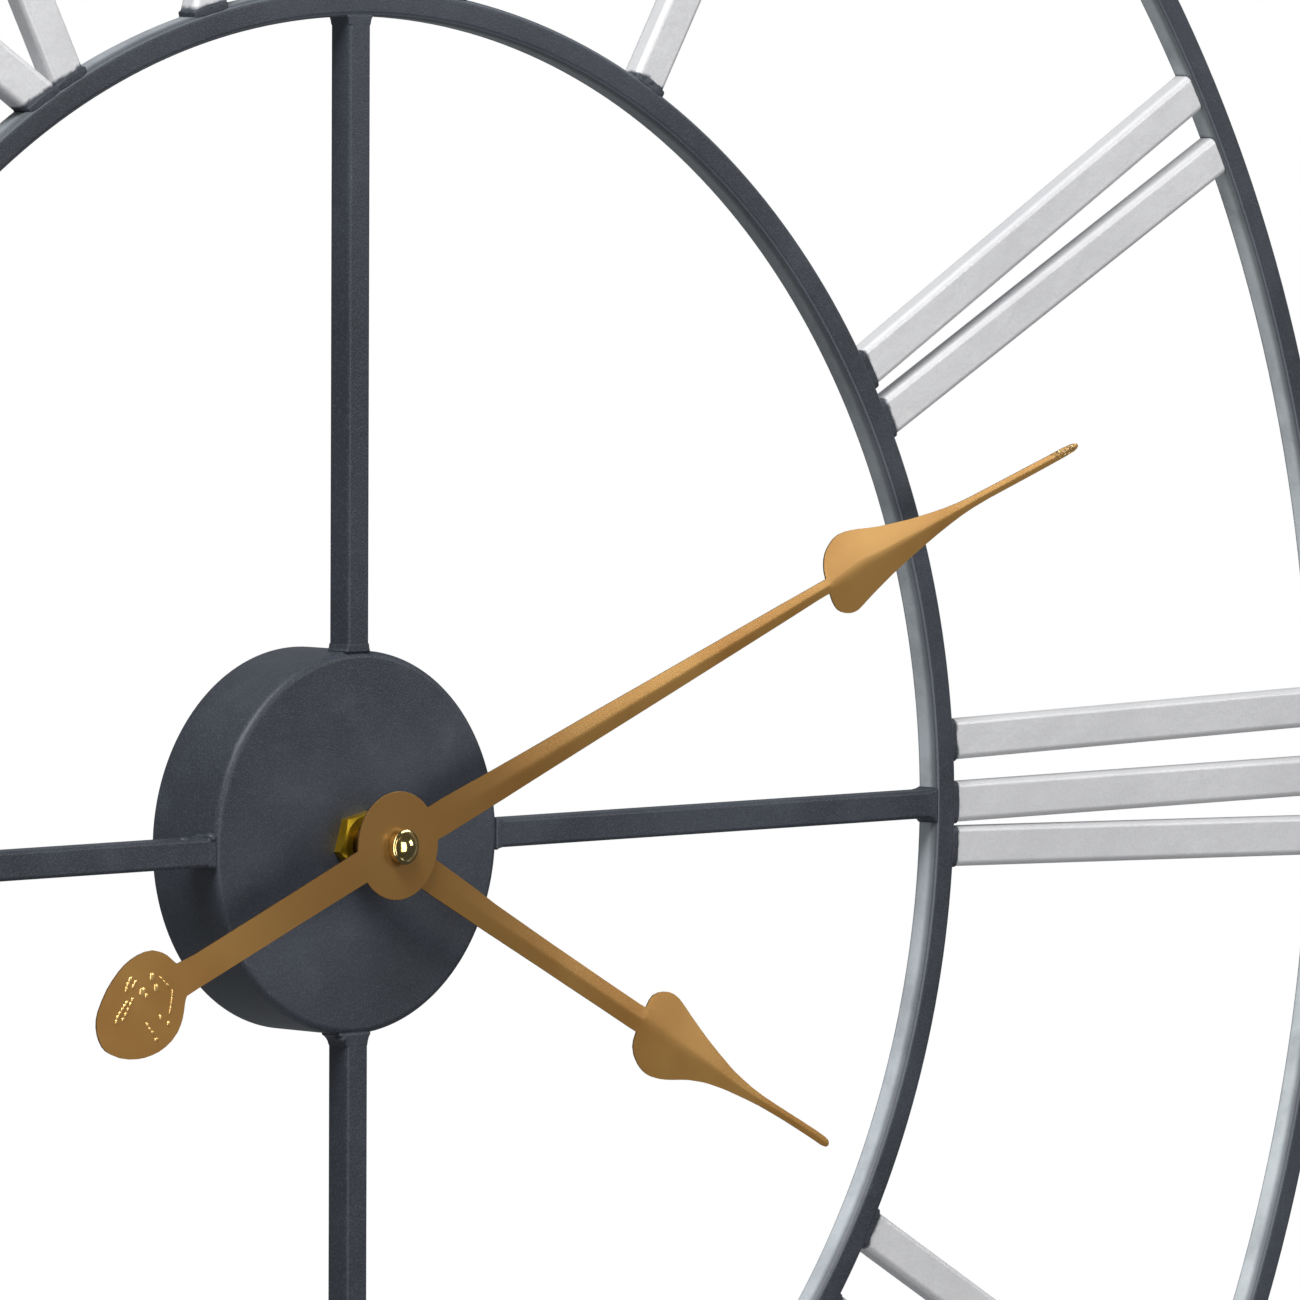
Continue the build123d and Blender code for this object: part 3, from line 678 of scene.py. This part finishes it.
minuteHandLook = {
    "boss": 11.2, "bossShift": (-0.43, -0.58), "hole": 1.25,
    "flat": 14, "folded": 60, "fold": 7.5, "sheet": 0.4,
    "stations": [
        (-89.9, 0.6, 1.7), (-89.6, 2.2, 1.68), (-89, 3.5, 1.6), (-88, 4.73, 1.5), (-86, 6.5, 1.5),
        (-84, 7.83, 1.38), (-82, 8.8, 1.28), (-80, 9.55, 1.15), (-78, 10.05, 1), (-76, 10.28, 0.92),
        (-74, 10.23, 0.8), (-72, 9.9, 0.67), (-70, 9.15, 0.5), (-68.8, 8.3, 0.42), (-67.8, 7.4, 0.3),
        (-66.9, 6.3, 0.15), (-66.1, 5, 0.1), (-65.5, 4.1, 0.15), (-65, 3.6, 0.25), (-60, 3.38, 0.3),
        (-50, 3.38, 0.15), (-40, 3.38, -0.01), (-30, 3.38, -0.18), (-20, 3.43, -0.33), (-14, 3.45, -0.42),
        (0, 3.55, -0.55), (14, 3.74, -0.68), (20, 3.64, -0.66), (30, 3.43, -0.5), (40, 3.24, -0.46),
        (60, 2.93, -0.42), (80, 2.59, -0.37), (100, 2.24, -0.36), (120, 1.89, -0.35), (130, 1.66, -0.35),
        (133.5, 1.64, -0.3), (133.84, 3.56, -0.1), (134.29, 4.76, 0), (134.92, 5.86, 0),
        (135.85, 6.84, -0.05), (136.94, 7.56, -0.08), (138, 8.06, -0.1), (139.05, 8.44, -0.15),
        (140.07, 8.62, -0.2), (141.07, 8.66, -0.27), (143.03, 8.31, -0.45), (144.97, 7.81, -0.52),
        (146.9, 7.26, -0.5), (149.79, 6.41, -0.38), (152.69, 5.59, -0.28), (156.58, 4.71, -0.2),
        (160.48, 3.88, -0.08), (164.39, 3.16, 0), (168.3, 2.49, 0.08), (172.23, 1.93, 0.15),
        (176.18, 1.49, 0.2), (180.15, 1.26, 0.27), (185.14, 1.15, 0.4), (190.13, 1.13, 0.62),
        (200.13, 1.09, 1.05), (205.12, 1.05, 1.26), (210.12, 1.03, 1.43), (212.91, 0.88, 1.55),
        (213.97, 0.6, 1.58), (214.43, 0.25, 1.58)],
}


def foldRamp(distance, look):  # 0 at the flat boss, 1 where the fold is full
    share = (abs(distance) - look["flat"]) / (look["folded"] - look["flat"])
    share = min(max(share, 0), 1)
    return 0.01 + 0.99 * share * share * (3 - 2 * share) if distance > 0 else 0.01


def drawStrip(look, front):
    start, half, shift = look["stations"][0]
    startFresh()
    bpy.ops.mesh.primitive_grid_add(
        x_subdivisions=2 * len(columns), y_subdivisions=1, size=2 * half * mm,
        location=(shift * mm, front, start * mm), rotation=(math.pi / 2, 0, 0))
    strip = bpy.context.active_object
    bpy.ops.object.transform_apply(location=True, rotation=True, scale=True)
    openEdit()
    drop = half * foldRamp(start, look) * math.tan(math.radians(look["fold"]))
    for side in (-1, 1):  # each column goes to its share of the width, and back along the fold
        for place, share in enumerate(columns, 1):
            was = shift * mm + side * half * mm * place / len(columns)
            pick(lambda spot: abs(spot.x - was) < half * mm / 10 / len(columns))
            soft = math.sqrt(share ** 2 + ridgeSoftness) - math.sqrt(ridgeSoftness)
            bpy.ops.transform.translate(value=(side * half * mm * (share - place / len(columns)),
                                               drop * mm * soft, 0))
    pick(lambda spot: spot.z < start * mm)
    bpy.ops.transform.translate(value=(0, 0, half * mm))
    pick(lambda spot: spot.z > (start + half / 2) * mm)
    first = True
    last = (start + half, half, shift, foldRamp(start, look))
    for distance, width, sideways in look["stations"][1:]:
        ramp = foldRamp(distance, look)
        move = ((sideways - last[2]) * mm, 0, (distance - last[0]) * mm)
        if first:
            bpy.ops.transform.translate(value=move)
        else:
            pushOut(move)
        first = False
        bpy.ops.transform.resize(value=(width / last[1], width * ramp / (last[1] * last[3]), 1),
                                 center_override=(sideways * mm, front, distance * mm))
        last = (distance, width, sideways, ramp)
    bpy.ops.object.mode_set(mode="OBJECT")
    applyModifier(strip, "SOLIDIFY", thickness=look["sheet"] * mm, offset=-1, use_even_offset=False)
    applyModifier(strip, "BEVEL", width=edgeRound["strip"], segments=2, limit_method="ANGLE",
                  angle_limit=math.radians(50))
    return strip


def cutBoss(look, front):
    startFresh()
    bpy.ops.mesh.primitive_circle_add(vertices=128, radius=look["hole"] * mm,
                                      location=(0, front - 0.00001, 0), rotation=(math.pi / 2, 0, 0))
    boss = bpy.context.active_object
    bpy.ops.object.transform_apply(location=True, rotation=True, scale=True)
    openEdit("EDGE")
    bpy.ops.mesh.select_all(action="SELECT")
    pushOut((0, 0, 0))
    grow = look["boss"] / look["hole"]
    aside, along = (shift * mm / (1 - grow) for shift in look["bossShift"])
    bpy.ops.transform.resize(value=(grow, 1, grow), center_override=(aside, front, along))
    bpy.ops.mesh.select_all(action="SELECT")
    bpy.ops.mesh.normals_make_consistent(inside=False)
    mesh = bmesh.from_edit_mesh(boss.data)
    mesh.faces.ensure_lookup_table()
    if mesh.faces[0].normal.y > 0:
        bpy.ops.mesh.flip_normals()
    bpy.ops.object.mode_set(mode="OBJECT")
    applyModifier(boss, "SOLIDIFY", thickness=look["sheet"] * mm + 0.00002, offset=-1)
    applyModifier(boss, "BEVEL", width=edgeRound["boss"], segments=2, limit_method="ANGLE",
                  angle_limit=math.radians(50))
    return boss


def pressHand(name, node, body, look):
    low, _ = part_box(node)
    front = low.y + 0.00001
    hand, boss = drawStrip(look, front), cutBoss(look, front)
    startFresh()
    boss.select_set(True)
    hand.select_set(True)
    bpy.context.view_layer.objects.active = hand
    bpy.ops.object.join()
    hand.rotation_euler = (0, math.radians(handAngle[node]), 0)
    finishPiece(hand, name, handGold, body, "hand_gold", node)
    print(name, "pressed,", len(hand.data.polygons), "faces")


pressHand("hourHandPressed", "hour_hand", "hour_works", hourHandLook)
pressHand("minuteHandPressed", "minute_hand", "minute_works", minuteHandLook)


# beading raised on the paddle of the minute hand: (sideways, along the hand, length, width, turn)
beadingLook = {
    "height": 0.6, "puffed": 1.3,  # a rounded cube is smaller than the cube it came from
    "beads": [
        (-5.8, -77.8, 1.49, 0.72, 63), (-5.1, -78.8, 1.26, 0.72, 52), (-4.3, -79.6, 1.26, 0.72, 40),
        (-4.7, -76.8, 1.15, 0.58, 62), (-4.2, -77.6, 1.15, 0.58, 58), (-1.85, -80.4, 1.03, 0.65, 65),
        (-1.45, -81.2, 1.03, 0.65, 65), (-1.05, -82, 1.03, 0.65, 65), (-0.6, -82.9, 1.03, 0.65, 62),
        (-0.1, -83.7, 1.03, 0.65, 52), (0.6, -84.4, 1.03, 0.65, 45), (-1.75, -78.8, 1.03, 0.58, 52),
        (-1.1, -79.65, 1.03, 0.58, 52), (-0.4, -80.6, 1.03, 0.58, 55), (0.25, -81.55, 1.03, 0.58, 58),
        (0.9, -82.6, 1.03, 0.58, 60), (-3.78, -72.26, 1.72, 1.3, 35), (-1.19, -72.06, 1.72, 1.3, 20),
        (-2.05, -75.71, 1.95, 1.59, 60), (-0.84, -75.09, 1.15, 0.87, 30), (-2.4, -70.1, 1.38, 0.51, -25),
        (-1.4, -69.6, 1.38, 0.51, -27), (-0.45, -69, 1.38, 0.51, -32), (1.65, -68.55, 1.61, 0.51, 26),
        (3, -69.3, 1.84, 0.51, 33), (4.5, -70.3, 1.84, 0.51, 36), (4.84, -73.21, 1.26, 0.72, 10),
        (6.84, -71.69, 1.03, 0.72, 40), (8.5, -75.87, 1.03, 0.72, 80), (4.77, -76.93, 1.15, 0.65, -15),
        (5.79, -76.72, 1.15, 0.65, -20), (6.75, -76.25, 1.15, 0.65, -28)],
}


def raiseBeading(look):
    low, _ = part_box("minute_hand")
    startFresh()
    bpy.ops.mesh.primitive_cube_add(size=mm)
    drop = bpy.context.active_object
    applyModifier(drop, "SUBSURF", levels=2, render_levels=2)
    laid = []
    for sideways, along, length, width, turn in look["beads"]:
        startFresh()
        drop.select_set(True)
        bpy.context.view_layer.objects.active = drop
        bpy.ops.object.duplicate(linked=False)
        bead = bpy.context.active_object
        bead.scale = (length * look["puffed"], look["height"], width * look["puffed"])
        bead.rotation_euler = (0, math.radians(turn), 0)
        bead.location = (sideways * mm, low.y + 0.00006, along * mm)
        bpy.ops.object.transform_apply(location=True, rotation=True, scale=True)
        laid.append(bead)
    startFresh()
    drop.select_set(True)
    bpy.ops.object.delete()
    joinPieces(laid)
    laid[0].rotation_euler = (0, math.radians(handAngle["minute_hand"]), 0)
    finishPiece(laid[0], "paddleBeading", beadGlintGold, "minute_works", "hand_gold")
    print("beading raised,", len(laid), "beads")


raiseBeading(beadingLook)


# cap nut, turned from brass: a short rim with a fine chamfer and a polished dome
capNutLook = {
    "turned": [  # radius and height above the hand, from the seat to the tip
        (3.45, 0.0), (3.6, 0.12), (3.62, 0.5), (3.62, 1.25), (3.65, 1.4), (3.6, 1.58), (3.45, 1.68),
        (3.22, 1.7), (3.06, 1.78), (2.9, 1.95), (2.6, 2.24), (2.25, 2.5), (1.85, 2.76), (1.4, 2.99),
        (0.95, 3.15), (0.5, 3.25), (0.2, 3.28)],
    "facets": 72,
}


def turnCapNut(look):
    low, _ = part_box("minute_hand")
    seat = low.y - 0.00003
    radius, height = look["turned"][0]
    startFresh()
    bpy.ops.mesh.primitive_circle_add(
        vertices=look["facets"], radius=radius * mm, fill_type="NGON",
        location=(0, seat, 0), rotation=(math.pi / 2, 0, 0))
    nut = bpy.context.active_object
    bpy.ops.object.transform_apply(location=True, rotation=True, scale=True)
    openEdit("EDGE")
    bpy.ops.mesh.select_all(action="SELECT")
    bpy.ops.mesh.region_to_loop()
    for wide, high in look["turned"][1:]:
        pushOut((0, (height - high) * mm, 0))
        bpy.ops.transform.resize(value=(wide / radius, 1, wide / radius), center_override=(0, seat, 0))
        radius, height = wide, high
    bpy.ops.mesh.edge_face_add()
    closeUp()
    finishPiece(nut, "capNutTurned", polishedBrass, "minute_works", "brass", "cap_nut")
    print("cap nut turned")


turnCapNut(capNutLook)


# studio: white backdrop behind, dim room in front, soft boxes, pale floor under the clock
studio = {
    "backdrop": 0.35,
    "room": 0.06,
    "boxes": {
        "frontSoftbox": {"place": (-0.56, -2.6, 0.0), "size": (1.15, 2.8), "watts": 48},
        "topSoftbox": {"place": (-1.2, -0.75, 2.2), "size": (1.4, 1.0), "watts": 120},
        "rightSoftbox": {"place": (2.0, -2.1, 1.0), "size": (1.3, 1.2), "watts": 27},
    },
    "floorDrop": 1.5,
    "floorRadius": 0.8,
    "floorShades": ("e6e6e4", "dededc"),
}


def hangLight(name, look):
    data = bpy.data.lights.new(name, "AREA")
    data.shape, data.energy = "RECTANGLE", look["watts"]
    data.size, data.size_y = look["size"]
    lamp = bpy.data.objects.new(name, data)
    bpy.context.scene.collection.objects.link(lamp)
    lamp.location = look["place"]
    lamp.rotation_euler = (-Vector(look["place"])).to_track_quat("-Z", "Y").to_euler()


def lightStudio(look):
    room = Finish("studioRoom", world=True)
    bpy.context.scene.world = room.owner
    behind = room.step(room.axis("Y"), -0.3, 0.6, look["room"], look["backdrop"])
    lit = room.node("ShaderNodeBackground", {}, {"Color": (0.9, 0.95, 1.0, 1), "Strength": behind})
    seen = room.node("ShaderNodeBackground", {}, {"Color": (1, 1, 1, 1)})
    ray = room.node("ShaderNodeLightPath", out="Is Camera Ray")
    both = room.node("ShaderNodeMixShader", {}, {0: ray, 1: lit, 2: seen})
    room.tree.links.new(both.socket, room.tree.nodes["World Output"].inputs["Surface"])
    for name, box in look["boxes"].items():
        hangLight(name, box)


def layFloor(look):
    bpy.ops.object.select_all(action="DESELECT")
    bpy.ops.mesh.primitive_circle_add(vertices=96, radius=look["floorRadius"], fill_type="NGON",
                                      location=(0, 0, cadLow.z - look["floorDrop"]))
    floor = bpy.context.active_object
    floor.name = "paleFloor"
    finish = Finish("paleFloor")
    mottle = finish.noise(3, 4, 0.6)
    shades = [colour(shade) for shade in look["floorShades"]]
    finish.feed(Base_Color=finish.mix(mottle, *shades), Roughness=0.7 + 0.15 * mottle)
    floor.data.materials.append(finish.owner)


lightStudio(studio)
layFloor(studio)
print("studio lit")
